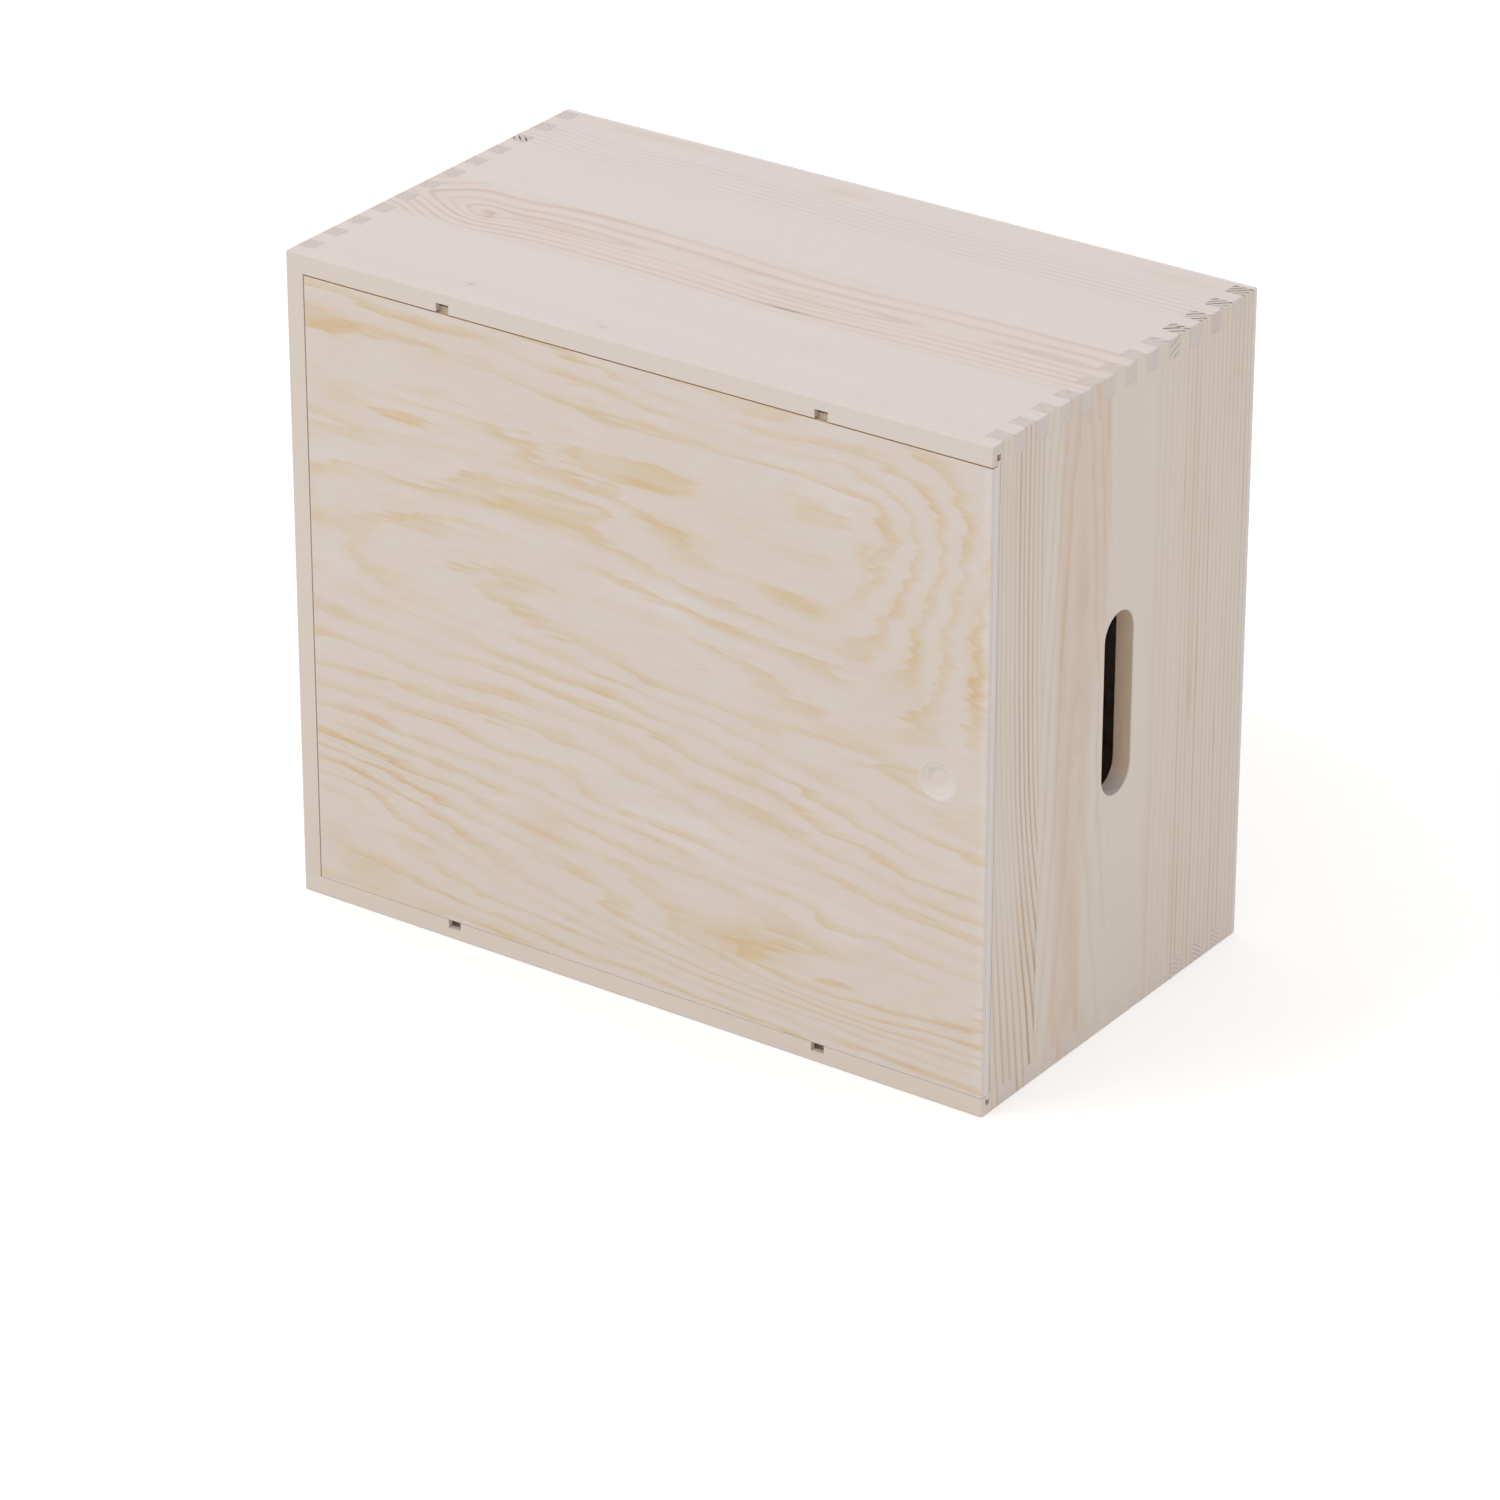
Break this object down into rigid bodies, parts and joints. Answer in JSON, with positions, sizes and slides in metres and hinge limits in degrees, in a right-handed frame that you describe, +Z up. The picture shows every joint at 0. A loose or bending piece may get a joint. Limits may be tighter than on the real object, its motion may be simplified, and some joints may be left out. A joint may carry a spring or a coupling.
{
  "type": "wooden wine box",
  "caption": "Upright finger-jointed pine box with a plywood lid that slides out to the right, hand slots in both ends and pierced dividers that hold lying bottles.",
  "frame": {"origin": "middle of the underside", "axes": "+X to the right, the way the lid slides out; +Y from the lid to the back panel; +Z up"},
  "size_m": [0.36, 0.203, 0.307],
  "materials": {
    "pale_pine": "bare, planed",
    "pine": "bare, planed",
    "lid_plywood": "bare, sanded",
    "back_plywood": "bare, sanded",
    "divider_plywood": "bare, sanded"
  },
  "bodies": {
    "box": {"top_board": "pale_pine", "bottom_board": "pine", "left_side": "pine", "right_side": "pine", "back_panel": "back_plywood", "left_divider_front": "divider_plywood", "left_divider_middle": "divider_plywood", "left_divider_back": "divider_plywood", "right_divider_front": "divider_plywood", "right_divider_middle": "divider_plywood", "right_divider_back": "divider_plywood"},
    "lid": {"sliding_lid": "lid_plywood"}
  },
  "joints": [
    {"name": "lid_slide", "type": "slide", "parent": "box", "child": "lid", "axis": [1, 0, 0], "range_m": [0, 0.36]}
  ]
}
